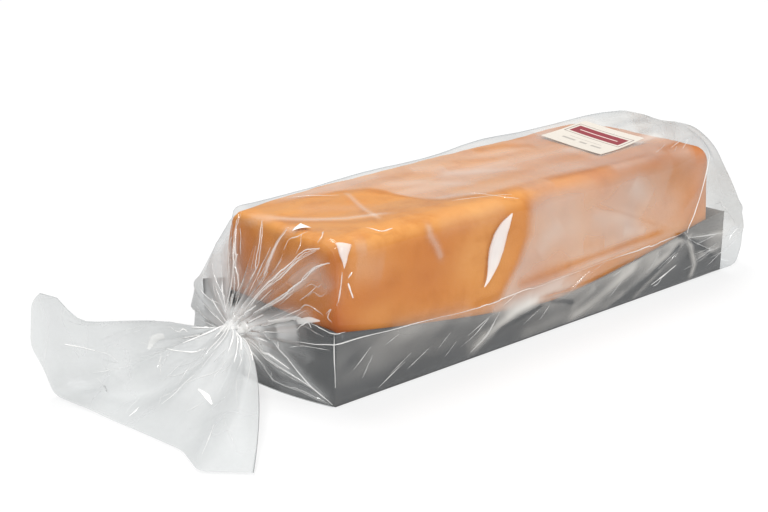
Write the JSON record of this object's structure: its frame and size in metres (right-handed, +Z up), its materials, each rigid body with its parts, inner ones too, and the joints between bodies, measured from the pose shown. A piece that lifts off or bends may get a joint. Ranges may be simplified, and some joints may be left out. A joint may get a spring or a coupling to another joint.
{
  "type": "bagged pound cake loaf",
  "caption": "Long pound cake loaf on a low board tray, shut in a clear bag that is gathered at one end into a flat tail.",
  "frame": {"origin": "centre of the tray's base, on the surface that the pack stands on", "axes": "+X along the loaf, away from the gathered end; +Y across it, towards the side where the tray stands clear of the loaf; +Z up"},
  "size_m": [0.4249, 0.1389, 0.0872],
  "materials": {
    "film": "gloss",
    "label": "satin",
    "loaf": "matte",
    "tray": "satin"
  },
  "bodies": {
    "root": {"bag": "film", "label": "label"}
  },
  "joints": []
}
